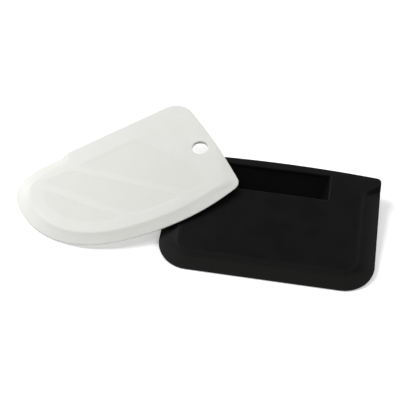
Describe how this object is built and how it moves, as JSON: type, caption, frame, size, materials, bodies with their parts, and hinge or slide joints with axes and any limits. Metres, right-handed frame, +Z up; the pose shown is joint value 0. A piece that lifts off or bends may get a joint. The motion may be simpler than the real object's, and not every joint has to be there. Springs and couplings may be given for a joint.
{
  "type": "dough scraper set",
  "caption": "Pair of moulded plastic dough scrapers: a straight-edged bench scraper with a finger pocket, and a curved bowl scraper with a hanging hole.",
  "frame": {"origin": "centre of the pair's footprint, on the table", "axes": "+X along the bench scraper's blade edge, towards its free right end; +Y away from that edge; +Z up"},
  "size_m": [0.2498, 0.1352, 0.0226],
  "materials": {
    "black_plastic": "fine satin moulded texture",
    "white_plastic": "smooth satin, faintly translucent"
  },
  "bodies": {
    "bench_scraper_body": {"bench_scraper": "black_plastic"},
    "bowl_scraper_body": {"bowl_scraper": "white_plastic"}
  },
  "joints": [
    {"name": "bowl_lift", "type": "slide", "parent": "bench_scraper_body", "child": "bowl_scraper_body", "axis": [0, 0, 1], "range_m": [0, 0.08]}
  ]
}
